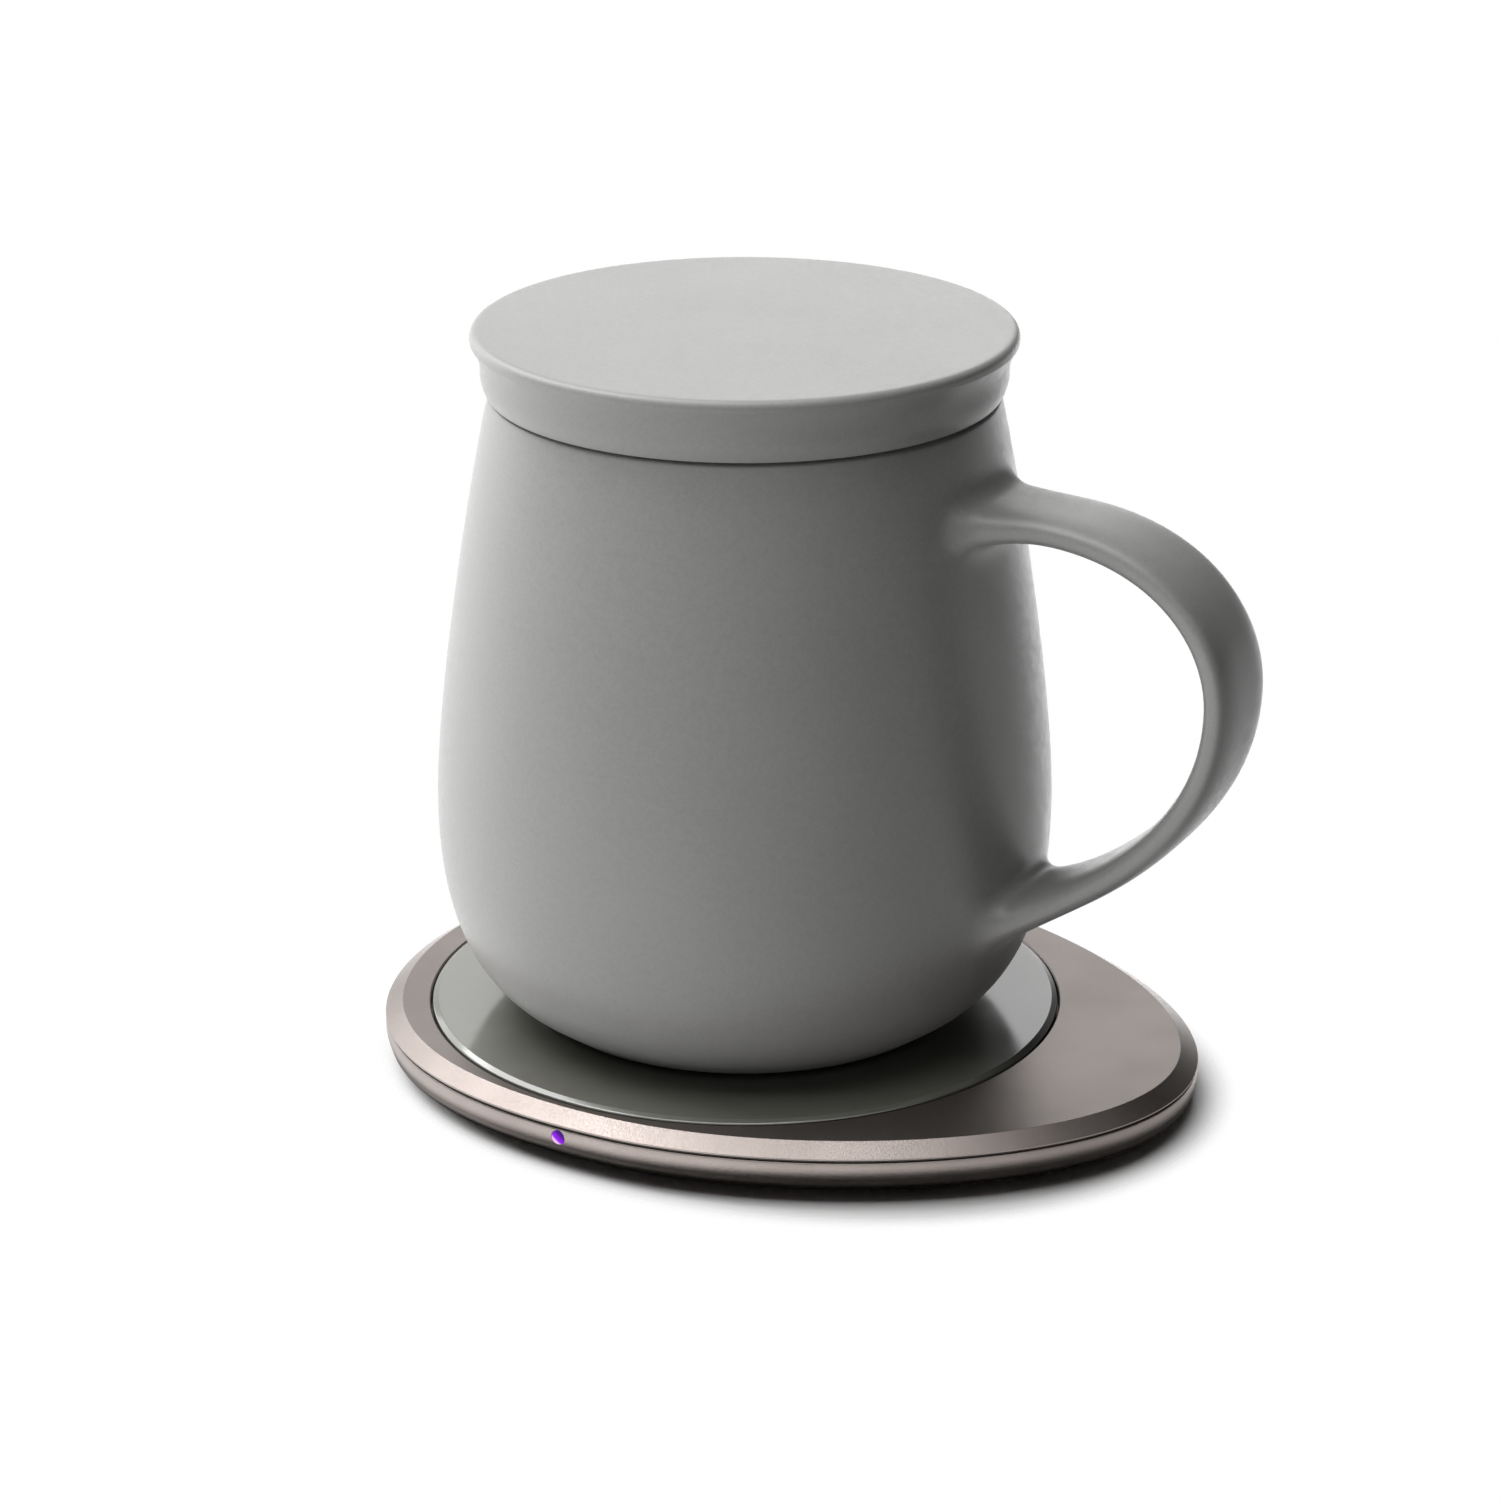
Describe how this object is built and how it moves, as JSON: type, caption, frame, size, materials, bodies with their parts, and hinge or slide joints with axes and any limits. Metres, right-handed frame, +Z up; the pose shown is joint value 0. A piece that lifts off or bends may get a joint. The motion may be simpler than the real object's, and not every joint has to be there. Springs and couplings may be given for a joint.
{
  "type": "self heating mug",
  "caption": "Lidded round-bellied ceramic mug with a strap handle and a contactless heater in its base, on a flat egg-shaped warming pad with a round plate and a USB-C inlet.",
  "frame": {"origin": "the mug's axis, on the underside of the pad's foot mat, which is the table plane", "axes": "+X towards the handle and the pad's nose, -Y towards the status light, +Z up along the mug's axis"},
  "size_m": [0.133, 0.1024, 0.1129],
  "materials": {
    "ceramic": "satin",
    "pad_metal": "satin",
    "plate_glass": "gloss",
    "dark_plastic": "matte",
    "silicone": "matte",
    "copper": "satin",
    "ferrite": "matte",
    "board": "satin",
    "chip": "satin",
    "sensor": "satin",
    "insulation": "matte",
    "heater": "satin",
    "thermal_pad": "matte",
    "steel": "satin",
    "light": "gloss"
  },
  "bodies": {
    "pad": {"pad_top_shell": "pad_metal", "pad_base": "pad_metal", "shell_gasket": "silicone", "pad_plate": "plate_glass", "plate_gasket": "silicone", "coil_carrier": "dark_plastic", "transmitter_ferrite": "ferrite", "transmitter_coil": "copper", "pad_thermistor": "sensor", "main_board": "board", "driver_chip_1": "chip", "driver_chip_2": "chip", "driver_chip_3": "chip", "power_inductor": "ferrite", "board_capacitor_1": "steel", "board_capacitor_2": "steel", "board_capacitor_3": "steel", "board_screw_1": "steel", "board_screw_2": "steel", "board_screw_3": "steel", "pad_screw_1": "steel", "pad_screw_2": "steel", "pad_screw_3": "steel", "pad_screw_4": "steel", "usb_shell": "steel", "usb_tongue": "dark_plastic", "status_led": "light", "light_pipe": "light", "foot_mat": "silicone"},
    "mug": {"mug_body": "ceramic", "foot_ring": "silicone", "base_cover": "dark_plastic", "base_seal": "silicone", "receiver_coil": "copper", "receiver_ferrite": "ferrite", "receiver_board": "board", "receiver_chip_1": "chip", "receiver_chip_2": "chip", "receiver_chip_3": "chip", "heat_insulator": "insulation", "mug_thermistor": "sensor", "heater_disc": "heater", "thermal_pad": "thermal_pad"},
    "lid": {"lid": "ceramic", "lid_seal": "silicone"}
  },
  "joints": [
    {"name": "mug_lift", "type": "slide", "parent": "pad", "child": "mug", "axis": [0, 0, 1], "range_m": [0, 0.08]},
    {"name": "lid_lift", "type": "slide", "parent": "mug", "child": "lid", "axis": [0, 0, 1], "range_m": [0, 0.06]}
  ]
}
